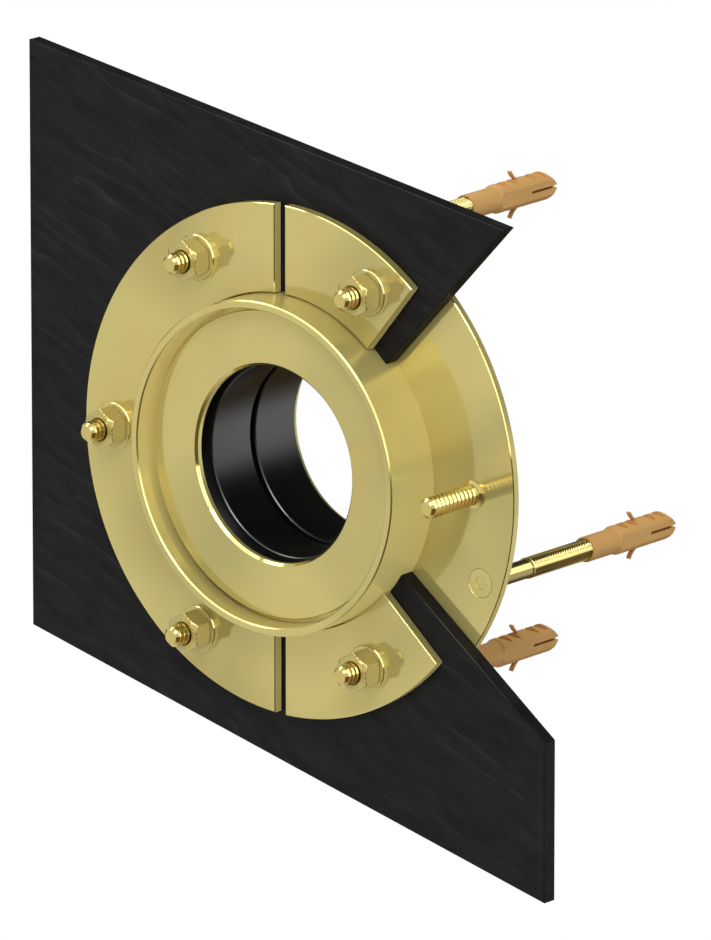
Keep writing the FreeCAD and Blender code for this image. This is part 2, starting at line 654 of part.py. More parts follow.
# Wall plug: a thin barrel, a split toothed part with two barbs, and a nose like a blunt wedge
def cut_plug_outline(body):
    """Notches behind the teeth and the sloping nose, cut across the plug above and below."""
    sketch = new_sketch(body, "YZ_Plane")
    high = f"({PLUG_CREST} + Dim.plug_swell)"
    for side in ("", "-"):
        for tooth in NOTCHED_TEETH:
            start = f"(Dim.barrel_length + {tooth} * Dim.tooth_pitch)"
            end = f"({start} + Dim.tooth_pitch)"
            floor = f"({PLUG_CREST} - Dim.tooth_depth)"
            draw_polygon(sketch, [(start, f"{side}{high}"), (end, f"{side}{floor}"), (end, f"{side}{high}")])
        draw_polygon(sketch, [
            (PLUG_NOSE, f"{side}{high}"),
            (PLUG_TIP, f"{side}Dim.nose_height"),
            (f"{PLUG_TIP} + Dim.plug_swell", f"{side}Dim.nose_height"),
            (f"{PLUG_TIP} + Dim.plug_swell", f"{side}{high}"),
        ])
    doc.recompute()
    pocket(body, sketch, sides="Symmetric")


def join_arcs(sketch, first, second, end):
    """A straight edge between the same ends of two arcs."""
    arcs = [sketch.Geometry[row] for row in (first, second)]
    spots = [arc.StartPoint if end == 1 else arc.EndPoint for arc in arcs]
    edge = sketch.addGeometry(Part.LineSegment(*spots), False)
    sketch.addConstraint(Sketcher.Constraint("Coincident", edge, 1, first, end))
    sketch.addConstraint(Sketcher.Constraint("Coincident", edge, 2, second, end))


def draw_barb(sketch, upper):
    """A thin tongue that starts along the plug's wall and bends out towards the mouth."""
    sign = "" if upper else "-"
    centre_height = f"{sign}({PLUG_BARREL} + Dim.barb_bend - Dim.barb_thick)"
    foot = 0.75 * FULL_TURN if upper else 0.25 * FULL_TURN
    bend = number("Dim.barb_angle")
    degrees = (foot - bend, foot) if upper else (foot, foot + bend)
    tip_end, foot_end = (1, 2) if upper else (2, 1)
    arcs = []
    for radius in ("(Dim.barb_bend - Dim.barb_thick / 2)", "(Dim.barb_bend + Dim.barb_thick / 2)"):
        arc = draw_arc(sketch, radius, *degrees, "Dim.barb_root", centre_height)
        constrain(sketch, "Dim.barb_root", "DistanceX", -1, 1, arc, foot_end)
        tip = f"Dim.barb_root - {radius} * sin(Dim.barb_angle)"
        constrain(sketch, tip, "DistanceX", -1, 1, arc, tip_end)
        arcs.append(arc)
    join_arcs(sketch, *arcs, 1)
    join_arcs(sketch, *arcs, 2)


def add_barbs(body):
    sketch = new_sketch(body, "YZ_Plane")
    draw_barb(sketch, True)
    draw_barb(sketch, False)
    doc.recompute()
    pad(body, sketch, "Dim.barb_width", "Symmetric")


def flatten_sides(body):
    """Cut both sides back to the barrel, so that the teeth stand out above and below only."""
    sketch = new_sketch(body, "XY_Plane")
    start = "(Dim.barrel_length - Dim.plug_swell)"
    end = f"({PLUG_TIP} + Dim.plug_swell)"
    for side in ("", "-"):
        near = f"{side}({PLUG_BARREL} - Dim.plug_flat)"
        far = f"{side}({PLUG_CREST} + Dim.plug_swell)"
        draw_polygon(sketch, [(near, start), (far, start), (far, end), (near, end)])
    doc.recompute()
    pocket(body, sketch, sides="Symmetric")


def make_wall_plug(row, turn):
    body = new_body(f"wall_plug_{row}")
    ramp = "(Dim.barrel_length - Dim.plug_swell)"
    narrow = "(Dim.barrel_length + Dim.tooth_pitch)"
    bore_end = f"({PLUG_NOSE} - Dim.nose_height)"
    revolve(body, [
        ("0", PLUG_BORE),
        ("0", PLUG_BARREL),
        (ramp, PLUG_BARREL),
        ("Dim.barrel_length", PLUG_CREST),
        (PLUG_TIP, PLUG_CREST),
        (PLUG_TIP, "0"),
        (bore_end, "0"),
        (bore_end, "Dim.plug_tip_bore"),
        (narrow, "Dim.plug_tip_bore"),
        ("Dim.barrel_length", PLUG_BORE),
    ])
    flatten_sides(body)
    cut_plug_outline(body)
    add_barbs(body)
    slot = new_sketch(body, "YZ_Plane")
    half = "Dim.slot_width / 2"
    web_back = f"({PLUG_TIP} - Dim.web_inset)"
    for start, end in (
        ("Dim.slot_start", f"{web_back} - Dim.web_thick"),
        (web_back, f"{PLUG_TIP} + Dim.plug_swell"),
    ):
        draw_polygon(slot, [(start, half), (end, half), (end, f"-{half}"), (start, f"-{half}")])
    pocket(body, slot, sides="Symmetric")
    across, up = on_circle(SCREW_CIRCLE, turn)
    put(body, across, PLUG_MOUTH, up)
    return body


made = [
    make_wall_tube(),
    make_fixed_flange(),
    make_stop_ring(),
    make_front_cover(),
    make_seal_front(),
    make_seal_rear(),
    make_rear_plate(),
    make_membrane(),
    make_loose_left(),
    make_loose_right("loose_flange_upper_right", "Dim.cut_upper_angle", STUD_TURNS[0], True),
    make_loose_right("loose_flange_lower_right", "(-Dim.cut_lower_angle)", STUD_TURNS[4], False),
]
made += make_stud_fittings()
for row, turn in enumerate(clamp_turns(), start=1):
    made += make_clamp_set(row, turn)
for row, turn in enumerate(SCREW_TURNS, start=1):
    made += [make_wall_screw(row, turn), make_wall_plug(row, turn)]

doc.recompute()
for item in doc.Objects:
    if "Invalid" in item.State or "Error" in item.State:
        raise RuntimeError(f"{item.Label} failed: {item.State}")
for body in made:
    if body.Shape.isNull() or not body.Shape.isValid():
        raise RuntimeError(f"{body.Label} has no valid shape")
    if len(body.Shape.Solids) != 1:
        raise RuntimeError(f"{body.Label} is {len(body.Shape.Solids)} solids")

os.makedirs("parts", exist_ok=True)
for body in made:
    body.Shape.exportStep(f"parts/{body.Label}.step")
    print(body.Label, round(body.Shape.Volume, 1))
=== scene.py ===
# %% [markdown]
# # An annular gap seal, dressed for its picture
# A pipe that passes through a wall leaves a ring-shaped gap. This part closes it: a steel tube in the wall,
# rubber rings inside the tube, and two flanges outside it that clamp the building's sealing sheet.
# The solids come packed from the CAD model. This lesson gives them their finishes, cuts real threads,
# creases the sheet and sets up the camera and the light.

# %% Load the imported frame
import json
import math

import bmesh
import bpy
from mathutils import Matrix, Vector, geometry, kdtree, noise

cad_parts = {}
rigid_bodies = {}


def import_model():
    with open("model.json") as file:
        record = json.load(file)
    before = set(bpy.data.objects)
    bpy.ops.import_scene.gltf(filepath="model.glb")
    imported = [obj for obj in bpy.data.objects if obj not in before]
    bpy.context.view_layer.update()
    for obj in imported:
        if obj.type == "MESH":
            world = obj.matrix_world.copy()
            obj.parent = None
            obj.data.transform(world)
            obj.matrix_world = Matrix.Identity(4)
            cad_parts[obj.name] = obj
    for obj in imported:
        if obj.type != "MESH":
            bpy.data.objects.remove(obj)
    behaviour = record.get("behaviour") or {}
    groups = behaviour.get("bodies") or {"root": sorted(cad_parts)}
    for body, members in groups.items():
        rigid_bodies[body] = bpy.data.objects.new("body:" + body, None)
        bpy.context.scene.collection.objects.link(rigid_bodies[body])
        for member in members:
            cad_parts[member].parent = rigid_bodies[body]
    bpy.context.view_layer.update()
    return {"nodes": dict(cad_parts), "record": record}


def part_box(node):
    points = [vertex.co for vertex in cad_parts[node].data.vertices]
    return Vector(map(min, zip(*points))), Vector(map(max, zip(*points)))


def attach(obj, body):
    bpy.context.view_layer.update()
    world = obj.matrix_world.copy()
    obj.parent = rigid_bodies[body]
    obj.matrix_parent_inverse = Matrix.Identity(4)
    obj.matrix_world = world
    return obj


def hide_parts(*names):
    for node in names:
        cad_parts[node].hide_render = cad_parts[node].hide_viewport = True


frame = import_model()
print("pieces in the frame:", len(frame["nodes"]))

# %% [markdown]
# Every size below is in metres, because the frame is. A small helper keeps the numbers readable in
# millimetres.

# %% Millimetres
MM = 0.001


def mm(size):
    """Turn millimetres into metres."""
    return size * MM


# %% [markdown]
# ## Shader maths as sums
# A procedural finish is mostly arithmetic on masks. Wrapping a node's output in a small class lets that
# arithmetic be written as sums, so the recipe reads like the idea behind it. Each operator adds a Math
# node.

# %% A socket that can be added and multiplied
class Mask:
    """One output of a material's node tree, used like a number."""

    def __init__(self, finish, socket):
        self.finish = finish
        self.socket = socket

    def math(self, operation, first, second):
        return self.finish.node("ShaderNodeMath", {"operation": operation}, {0: first, 1: second})

    def __add__(self, other):
        return self.math("ADD", self, other)

    def __radd__(self, other):
        return self.math("ADD", other, self)

    def __sub__(self, other):
        return self.math("SUBTRACT", self, other)

    def __rsub__(self, other):
        return self.math("SUBTRACT", other, self)

    def __mul__(self, other):
        return self.math("MULTIPLY", self, other)

    def __rmul__(self, other):
        return self.math("MULTIPLY", other, self)

    def __pow__(self, other):
        return self.math("POWER", self, other)


# %% [markdown]
# A finish is one material under construction. Its main method adds any node: the type comes first, then the
# settings, such as the operation of a Math node, and then what goes into its sockets. The other methods add
# the nodes that most finishes need: soft noise, a ramp, a blend of two colours and a bump. A Mix node has
# sockets for numbers, for vectors and for colours under the same names, and so its colours go by row.

# %% A material under construction
MIX_COLOURS = (6, 7)
MIX_RESULT = 2


class Finish:
    """A material with one Principled shader, and methods that add other nodes."""

    def __init__(self, name):
        self.material = bpy.data.materials.new(name)
        self.material.use_nodes = True
        self.tree = self.material.node_tree
        self.shader = self.tree.nodes["Principled BSDF"]
        self.place = self.node("ShaderNodeTexCoord", {}, {}, "Object")

    def node(self, kind, settings, inputs, output=0):
        """Add a node and give back one of its outputs."""
        made = self.tree.nodes.new(kind)
        for name, setting in settings.items():
            setattr(made, name, setting)
        for name, given in inputs.items():
            self.feed(made.inputs[name], given)
        return Mask(self, made.outputs[output])

    def feed(self, socket, given):
        if isinstance(given, Mask):
            self.tree.links.new(given.socket, socket)
        else:
            socket.default_value = given

    def wear(self, **sockets):
        """Set the shader's own sockets, with underscores for the spaces in their names."""
        for name, given in sockets.items():
            self.feed(self.shader.inputs[name.replace("_", " ")], given)

    def part(self, vector, axis):
        """One of a vector's three numbers, called X, Y and Z."""
        return self.node("ShaderNodeSeparateXYZ", {}, {0: vector}, axis)

    def facing(self, axis):
        """How far the surface points along an axis, from -1 to 1."""
        return self.part(self.node("ShaderNodeNewGeometry", {}, {}, "Normal"), axis)

    def stretched(self, stretch, turn):
        """The place on the piece, turned about the pipe's direction and then stretched."""
        turned_place = {"Vector": self.place, "Rotation": (0.0, turn, 0.0)}
        slanted = self.node("ShaderNodeMapping", {}, turned_place)
        return self.node("ShaderNodeMapping", {}, {"Vector": slanted, "Scale": stretch})

    def cloud(self, scale, detail, roughness=0.5, stretch=(1.0, 1.0, 1.0), turn=0.0):
        """Soft noise about a middle of 0.5, with features of about one over the scale, in metres."""
        spread = self.stretched(stretch, turn)
        inputs = {"Vector": spread, "Scale": scale, "Detail": detail, "Roughness": roughness}
        return self.node("ShaderNodeTexNoise", {}, inputs)

    def ramp(self, given, span, top=1.0, smooth=False):
        """A mask that climbs from 0 to its top while what is given crosses a span."""
        settings = {"interpolation_type": "SMOOTHSTEP"} if smooth else {}
        return self.node("ShaderNodeMapRange", settings, {0: given, 1: span[0], 2: span[1], 4: top})

    def blend(self, amount, first, second):
        """A colour between two others, each a colour or the output of a node."""
        inputs = {0: amount}
        for row, colour in zip(MIX_COLOURS, (first, second)):
            inputs[row] = colour if isinstance(colour, Mask) else (*colour, 1.0)
        return self.node("ShaderNodeMix", {"data_type": "RGBA"}, inputs, MIX_RESULT)

    def relief(self, height, distance, strength):
        """A normal bent by a height mask, whose full height is a distance in metres."""
        inputs = {"Height": height, "Distance": distance, "Strength": strength}
        return self.node("ShaderNodeBump", {}, inputs)


print("shader helpers ready")

# %% [markdown]
# ## Yellow zinc
# The steel pieces are zinc plated and yellow passivated: a pale straw gold that drifts towards olive and
# towards honey. On the plates the passive film is thick and milky, so only two fifths of the light come back
# as from a mirror and the rest as from paint. The nuts come close to the plates, and the tube is duller and
# rougher. Studs and screws are nearly pure mirror. The screws have the same plating, but they wear a darker
# copy of it, painted shade that dims what their mirror shows. Wide clouds carry the drift
# of colour, and a much finer one roughens the mirror just enough to soften what it shows.
# The narrow bevels round the plates are nearly pure mirror: they flash white where they face a lamp and go
# dark where they face the mats on the floor. The surface's own normal tells where a bevel is, because it
# leans halfway between forwards and sideways. The lower right piece of the loose flange has a finish of its
# own with dull bevels, because no line of light is wanted along its cut.

# %% The plated finish
STRAW = (0.56, 0.475, 0.168)
OLIVE = (0.42, 0.368, 0.136)
HONEY = (0.58, 0.42, 0.12)
BRIGHT = (0.68, 0.575, 0.225)
BRIGHT_OLIVE = (0.57, 0.465, 0.16)
# Painted shade: a darker copy of the plating, worn by the screws.
SCREW_SHADED = (0.33, 0.275, 0.105)
SCREW_SHADED_OLIVE = (0.28, 0.23, 0.09)
FILM_GLOSS = 0.3
BEVEL_MIRROR = 0.92
DULL_BEVEL_MIRROR = 0.3
PLATE_MIRROR = 0.44
PLATE_HAZE = 0.09
BEVEL_SPAN = (0.2, 0.24)
DRIFT_SCALE = 12.0
DRIFT_SPAN = (0.42, 0.64)
HONEY_SCALE = 26.0
HONEY_SPAN = (0.5, 0.75)
HONEY_SHARE = 0.5
GRAIN_SCALE = 900.0
GRAIN_HAZE = 0.04
GRAIN_DEPTH = mm(0.004)
GRAIN_STRENGTH = 0.2


def plated(name, light, deep, haze, mirror, bevel_mirror=BEVEL_MIRROR):
    """Plating between two tones, with its roughness and how far it is a mirror."""
    finish = Finish(name)
    swing = finish.ramp(finish.cloud(DRIFT_SCALE, 1.0), DRIFT_SPAN)
    tint = finish.blend(swing, light, deep)
    patch = finish.ramp(finish.cloud(HONEY_SCALE, 2.0), HONEY_SPAN, HONEY_SHARE)
    forwards = finish.facing("Y") ** 2.0
    bevel = finish.ramp(forwards * (1 - forwards), BEVEL_SPAN)
    grain = finish.cloud(GRAIN_SCALE, 2.0, 0.6)
    finish.wear(
        Base_Color=finish.blend(patch, tint, HONEY),
        Metallic=mirror + (bevel_mirror - mirror) * bevel,
        Specular_IOR_Level=FILM_GLOSS,
        Roughness=haze + GRAIN_HAZE * (grain - 0.5),
        Normal=finish.relief(grain, GRAIN_DEPTH, GRAIN_STRENGTH),
    )
    return finish.material


plate_metal = plated("yellow_zinc_plate", STRAW, OLIVE, PLATE_HAZE, PLATE_MIRROR)
cut_metal = plated("yellow_zinc_cut_plate", STRAW, OLIVE, PLATE_HAZE, PLATE_MIRROR, DULL_BEVEL_MIRROR)
tube_metal = plated("yellow_zinc_tube", STRAW, OLIVE, haze=0.22, mirror=0.26)
rod_metal = plated("yellow_zinc_rod", BRIGHT, BRIGHT_OLIVE, haze=0.09, mirror=0.94)
# The screws' darker tone is painted shade.
shaded_screw_metal = plated("yellow_zinc_screw_painted_shade", SCREW_SHADED, SCREW_SHADED_OLIVE, haze=0.12, mirror=0.94)
nut_metal = plated("yellow_zinc_nut", STRAW, OLIVE, haze=0.1, mirror=0.36)
metals = (plate_metal, cut_metal, tube_metal, rod_metal, shaded_screw_metal, nut_metal)
print("plated finishes:", [metal.name for metal in metals])

# %% [markdown]
# ## Rubber, sheet and nylon
# The rubber rings are moulded and satin black. Two clouds do for them: a wide one for the faint bloom on
# the surface, and a fine one for its grain.

# %% The rubber finish
RUBBER_BLACK = (0.003, 0.003, 0.003)
RUBBER_BLOOM = (0.006, 0.006, 0.006)
RUBBER_HAZE = 0.24
RUBBER_GLOSS = 1.0
BLOOM_SCALE = 60.0
BLOOM_HAZE = 0.12
RUBBER_GRAIN_SCALE = 1400.0
RUBBER_GRAIN = mm(0.008)


def rubber():
    finish = Finish("seal_rubber")
    bloom = finish.cloud(BLOOM_SCALE, 3.0)
    speck = finish.cloud(RUBBER_GRAIN_SCALE, 2.0)
    finish.wear(
        Base_Color=finish.blend(bloom, RUBBER_BLACK, RUBBER_BLOOM),
        Roughness=RUBBER_HAZE + BLOOM_HAZE * bloom,
        Specular_IOR_Level=RUBBER_GLOSS,
        Normal=finish.relief(speck, RUBBER_GRAIN, 0.2),
    )
    return finish.material


seal_rubber = rubber()

# %% [markdown]
# The sheet looks like slate: thin ridges run slanting down across it, each rising slowly and dropping off
# sharply. A wave texture with a saw profile has that shape, and its bands lie 0.314 apart at a scale of one.
# Noise bends the bands, a second noise lets each ridge fade out and start again, and the sharp top of the saw
# is painted a little paler, partly as wear and partly as a painted highlight where a ridge catches the light.
# The edges that face up and forwards get a pale painted highlight, and the surface's own normal tells where
# those are.

# %% The sheet's finish
SHEET_DARK = (0.0085, 0.0085, 0.0086)
SHEET_PALE = (0.0150, 0.0150, 0.0153)
# Crests are painted paler, partly as wear and partly as a painted highlight where the ridges catch the light.
SHEET_WORN_SHEEN = (0.030, 0.030, 0.031)
# The colour of the painted highlight along the edges that face up and forwards.
SHEET_EDGE_HIGHLIGHT = (0.125, 0.125, 0.125)
SHEET_HAZE = 0.42
STREAK_HAZE = 0.16
SHEET_GLOSS = 0.08
CREASE_TURN = math.radians(-24)
RIDGE_SPACING = mm(10.0)
RIDGE_STRETCH = 0.28
ALONG_RIDGES = (RIDGE_STRETCH, 1.0, 1.0)
RIDGE_BEND = {"Distortion": 14.0, "Detail": 3.0, "Detail Scale": 1.1, "Detail Roughness": 0.55}
WAVE_UNIT = 0.314
PRESENCE_SCALE = 48.0
PRESENCE_SPAN = (0.42, 0.64)
STREAK_SCALE = 170.0
STREAK_SPAN = (0.36, 0.64)
EDGE_HIGHLIGHT_SPAN = (0.44, 0.48)
CREST_SHARPNESS = 9.0
CREST_WEAR_SHEEN = 1.6
RIDGE_SHARE = 0.7
STREAK_SHARE = 0.3
SHEET_RELIEF = mm(0.9)


def sheet_skin():
    finish = Finish("sealing_sheet")
    streak = finish.cloud(STREAK_SCALE, 4.0, 0.6, ALONG_RIDGES, CREASE_TURN)
    presence = finish.cloud(PRESENCE_SCALE, 2.0, 0.5, ALONG_RIDGES, CREASE_TURN)
    saw = {"wave_type": "BANDS", "bands_direction": "Z", "wave_profile": "SAW"}
    inputs = {"Vector": finish.stretched(ALONG_RIDGES, CREASE_TURN), "Scale": WAVE_UNIT / RIDGE_SPACING}
    ridge = finish.node("ShaderNodeTexWave", saw, {**inputs, **RIDGE_BEND}, "Fac")
    shown = finish.ramp(presence, PRESENCE_SPAN)
    skin = finish.blend(finish.ramp(streak, STREAK_SPAN), SHEET_DARK, SHEET_PALE)
    # Paler crests: partly wear, partly a painted highlight.
    face = finish.blend(ridge ** CREST_SHARPNESS * shown * streak * CREST_WEAR_SHEEN, skin, SHEET_WORN_SHEEN)
    # Painted highlight: a pale line on the edges that face up and forwards, towards the lamps.
    edge = finish.ramp(-1.0 * finish.facing("Y") * finish.facing("Z"), EDGE_HIGHLIGHT_SPAN)
    height = ridge * shown * RIDGE_SHARE + streak * STREAK_SHARE
    finish.wear(
        Base_Color=finish.blend(edge, face, SHEET_EDGE_HIGHLIGHT),
        Roughness=SHEET_HAZE + STREAK_HAZE * streak,
        Specular_IOR_Level=SHEET_GLOSS,
        Normal=finish.relief(height, SHEET_RELIEF, 0.6),
    )
    return finish.material


sheet_black = sheet_skin()

# %% [markdown]
# The wall plugs are moulded of tan nylon. Clouds that are stretched along the plugs stand for the marks that
# the melt leaves as it flows, and a fine cloud gives the grain of the mould.

# %% The plugs' finish
TAN_LIGHT = (0.75, 0.435, 0.145)
TAN_DEEP = (0.62, 0.335, 0.10)
ALONG_PLUGS = (1.0, 0.3, 1.0)
NYLON_HAZE = 0.42
NYLON_GLOSS = 0.3
FLOW_SCALE = 120.0
FLOW_HAZE = 0.1
NYLON_GRAIN_SCALE = 1600.0
NYLON_GRAIN = mm(0.01)


def nylon():
    finish = Finish("tan_nylon")
    flow = finish.cloud(FLOW_SCALE, 3.0, 0.5, ALONG_PLUGS)
    speck = finish.cloud(NYLON_GRAIN_SCALE, 2.0)
    finish.wear(
        Base_Color=finish.blend(flow, TAN_LIGHT, TAN_DEEP),
        Roughness=NYLON_HAZE + FLOW_HAZE * flow,
        Specular_IOR_Level=NYLON_GLOSS,
        Normal=finish.relief(speck, NYLON_GRAIN, 0.25),
    )
    return finish.material


plug_nylon = nylon()
print("soft finishes:", seal_rubber.name, sheet_black.name, plug_nylon.name)

# %% [markdown]
# ## Dress the solids
# A piece whose shape is right stays as it came. It gets its finish, and its curved faces are shaded smooth
# up to an angle, so that bevels stay crisp while round walls show no facets.

# %% Give each solid its finish
CRISP = math.radians(28)
SLOT_FINISH = {
    "plated_steel": plate_metal,
    "plated_fastener": nut_metal,
    "seal_rubber": seal_rubber,
    "sheet_bitumen": sheet_black,
    "plug_plastic": plug_nylon,
}


def coat(piece, material):
    piece.data.materials.clear()
    piece.data.materials.append(material)


def shade(piece):
    """Smooth shading, with the sharper edges left crisp."""
    piece.data.shade_smooth()
    piece.data.set_sharp_from_angle(angle=CRISP)


slot_of = {row["node"]: row["material_slot"] for row in frame["record"]["subparts"]}
for name, solid in frame["nodes"].items():
    coat(solid, SLOT_FINISH[slot_of[name]])
    shade(solid)
coat(frame["nodes"]["loose_flange_lower_right"], cut_metal)
print("solids dressed:", len(slot_of))

# %% [markdown]
# ## Threads
# In the CAD model the studs and screws are plain rods, so that their fits are easy to check. Here each rod
# gets its thread. A thread is a groove that runs round and along the rod at once, and the simplest way to
# model it is a lathe whose rings aren't all circles: the radius at any place on the surface depends on how
# far that place lies along the groove, and one turn round the rod shifts the groove by one pitch.

# %% A lathe whose rings may change with the turn
FULL_TURN = 2 * math.pi
SAME_PLACE = 1e-6


def turned(name, rings, around):
    """A solid of rings about the Y direction. A ring is (depth, radius), or (depth, radius by turn)."""
    made = bmesh.new()
    loops = []
    for depth, radius in rings:
        if radius == 0:
            loops.append([made.verts.new((0.0, depth, 0.0))])
            continue
        loop = []
        for step in range(around):
            turn = step / around * FULL_TURN
            reach = radius(turn) if callable(radius) else radius
            loop.append(made.verts.new((reach * math.cos(turn), depth, reach * math.sin(turn))))
        loops.append(loop)
    for before, after in zip(loops, loops[1:]):
        for step in range(around):
            corners = [before[step % len(before)], before[(step + 1) % len(before)]]
            corners += [after[(step + 1) % len(after)], after[step % len(after)]]
            made.faces.new(list(dict.fromkeys(corners)))
    bmesh.ops.remove_doubles(made, verts=made.verts, dist=SAME_PLACE)
    bmesh.ops.recalc_face_normals(made, faces=made.faces)
    mesh = bpy.data.meshes.new(name)
    made.to_mesh(mesh)
    made.free()
    return mesh


# %% [markdown]
# The groove itself is a V with a little flat at its crest and its root. Near its ends it fades out over one
# pitch, as a rolled thread does.

# %% The threaded length of a rod
RINGS_PER_PITCH = 8
FLAT_SHARE = 0.14


def groove(place):
    """How deep the V is at a place along the thread, from 0 at the crest to 1 at the root."""
    slope = abs(2 * (place % 1.0) - 1)
    return min(max((slope - FLAT_SHARE) / (1 - 2 * FLAT_SHARE), 0.0), 1.0)


def thread_rings(start, end, crest, depth, pitch, fade_start=True, fade_end=True):
    """Rings of a thread from one depth to another."""
    count = math.ceil((end - start) / pitch * RINGS_PER_PITCH)
    rings = []
    for row in range(count + 1):
        place = start + (end - start) * row / count
        fade = 1.0
        if fade_start:
            fade = min(fade, (place - start) / pitch)
        if fade_end:
            fade = min(fade, (end - place) / pitch)

        def radius(turn, place=place, fade=fade):
            return crest - depth * fade * groove(place / pitch - turn / FULL_TURN)

        rings.append((place, radius))
    return rings


def narrowed(rings, tip, tip_radius):
    """The same rings, cut back by the 45 degree bevel at a rod's tip."""
    cut = []
    for place, radius in rings:
        limit = tip_radius + abs(place - tip)
        cut.append((place, lambda turn, radius=radius, limit=limit: min(radius(turn), limit)))
    return cut


# %% [markdown]
# The threads of the flange studs are coarse, 2.75 millimetres from crest to crest, and those of the wall
# screws finer, 1.75 millimetres. Each rod is made once and placed where its solids are, read from the frame.

# %% Put a new piece in a solid's place
AROUND_ROD = 48


def centre_of(node):
    """Where the axis of a round piece meets the plane of the fixed flange's face."""
    low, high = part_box(node)
    return Vector(((low[0] + high[0]) / 2, 0.0, (low[2] + high[2]) / 2))


def stand_in(node, mesh, material, kind):
    """A piece of this mesh that takes a solid's place."""
    piece = bpy.data.objects.new(node + "_" + kind, mesh)
    piece.location = centre_of(node)
    bpy.context.scene.collection.objects.link(piece)
    coat(piece, material)
    shade(piece)
    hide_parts(node)
    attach(piece, "root")


def nodes_called(start):
    return [name for name in frame["nodes"] if name.startswith(start)]


# %% [markdown]
# A flange stud is welded to the fixed flange with a collar at its foot. Its thread runs from the bevelled
# tip to the collar.

# %% Flange studs
STUD_RADIUS = mm(5.0)
STUD_BEVEL = mm(1.7)
STUD_PITCH = mm(2.75)
STUD_GROOVE = mm(0.45)
COLLAR_HEIGHT = mm(2.0)


def stud_mesh():
    low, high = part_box("stud_1")
    tip = low[1]
    collar = (high[0] - low[0]) / 2
    neck = -COLLAR_HEIGHT
    thread = thread_rings(tip, neck, STUD_RADIUS, STUD_GROOVE, STUD_PITCH, fade_start=False)
    rings = [(tip, 0), (tip, STUD_RADIUS - STUD_BEVEL)]
    rings += narrowed(thread, tip, STUD_RADIUS - STUD_BEVEL)[1:]
    rings += [(neck + (collar - STUD_RADIUS) / 2, collar), (0.0, collar), (0.0, 0)]
    return turned("threaded_stud", rings, AROUND_ROD)


stud = stud_mesh()
for node in nodes_called("stud_"):
    stand_in(node, stud, rod_metal, "threaded")
print("studs with threads:", len(nodes_called("stud_")), "faces each", len(stud.polygons))

# %% [markdown]
# The clamping studs stand behind the cover disc and squeeze the rubber rings. They are thinner, with a fine
# thread at the far end, where their nuts are.

# %% Clamping studs
FASTENER_BEVEL = mm(1.2)
CLAMP_PITCH = mm(1.0)
CLAMP_GROOVE = mm(0.5)
CLAMP_THREAD = mm(20.0)


def clamp_mesh():
    low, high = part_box("clamp_stud_1")
    radius = (high[0] - low[0]) / 2
    tip = high[1]
    thread = thread_rings(tip - CLAMP_THREAD, tip, radius, CLAMP_GROOVE, CLAMP_PITCH, fade_end=False)
    rings = [(low[1], 0), (low[1], radius)]
    rings += narrowed(thread, tip, radius - FASTENER_BEVEL)
    rings += [(tip, 0)]
    return turned("threaded_clamp_stud", rings, AROUND_ROD)


clamp = clamp_mesh()
for node in nodes_called("clamp_stud_"):
    stand_in(node, clamp, rod_metal, "threaded")
print("clamping studs with threads:", len(nodes_called("clamp_stud_")))

# %% [markdown]
# The wall screws have a countersunk head with a hexagon socket, a plain shank a little thinner than the
# thread, and a fine thread to the tip. The socket needs no cutting: its rings are hexagons instead of
# circles.

# %% Wall screws
SCREW_RADIUS = mm(5.0)
SHANK_RADIUS = mm(4.55)
SCREW_PITCH = mm(1.75)
SCREW_GROOVE = mm(0.75)
SCREW_SHANK_END = mm(33.0)
SHANK_STEP = mm(0.3)
SOCKET_FLATS = mm(6.0)
SOCKET_DEPTH = mm(1.6)
SOCKET_SLOPE = mm(0.5)
HEX_SIDE = FULL_TURN / 6


def hexagon(flats, corner):
    """The radius by turn of a hexagon, from its width across the flats and the turn of a corner."""
    return lambda turn: flats / 2 / math.cos((turn - corner) % HEX_SIDE - HEX_SIDE / 2)


def screw_mesh():
    low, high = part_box("wall_screw_1")
    head = (high[0] - low[0]) / 2
    tip = high[1]
    thread = thread_rings(SCREW_SHANK_END, tip, SCREW_RADIUS, SCREW_GROOVE, SCREW_PITCH, fade_end=False)
    socket = hexagon(SOCKET_FLATS, 0.0)
    rings = [(SOCKET_DEPTH, 0), (SOCKET_DEPTH - SOCKET_SLOPE, socket), (0.0, socket), (0.0, head)]
    rings += [(head - SCREW_RADIUS, SCREW_RADIUS), (head - SHANK_RADIUS, SHANK_RADIUS)]
    rings += [(SCREW_SHANK_END - SHANK_STEP, SHANK_RADIUS)]
    rings += narrowed(thread, tip, SCREW_RADIUS - FASTENER_BEVEL)
    rings += [(tip, 0)]
    return turned("threaded_wall_screw", rings, AROUND_ROD)


# %% [markdown]
# The flat top of a screw's head has the plates' milky finish, so that it almost disappears in the face that
# it is sunk into. Its faces take a second material of the same piece.

# %% Place the screws
screw = screw_mesh()
for node in nodes_called("wall_screw_"):
    stand_in(node, screw, shaded_screw_metal, "threaded")
screw.materials.append(plate_metal)
for face in screw.polygons:
    face.material_index = 1 if face.center.y < SOCKET_DEPTH else 0
print("wall screws with threads:", len(nodes_called("wall_screw_")), "faces each", len(screw.polygons))

# %% [markdown]
# A nut is the same lathe again: a hexagon whose corners are cut back by a cone at both ends. The hole opens
# in front in a small countersink, which shows as a dark ring round the stud.

# %% Nuts
NUT_CORNER = FULL_TURN / 4
NUT_CHAMFER = mm(0.8)
NUT_SLOPE = math.tan(math.radians(30))
NUT_ROWS = 6
NUT_SINK = mm(0.8)
NUT_GAP = mm(0.05)
AROUND_NUT = 96


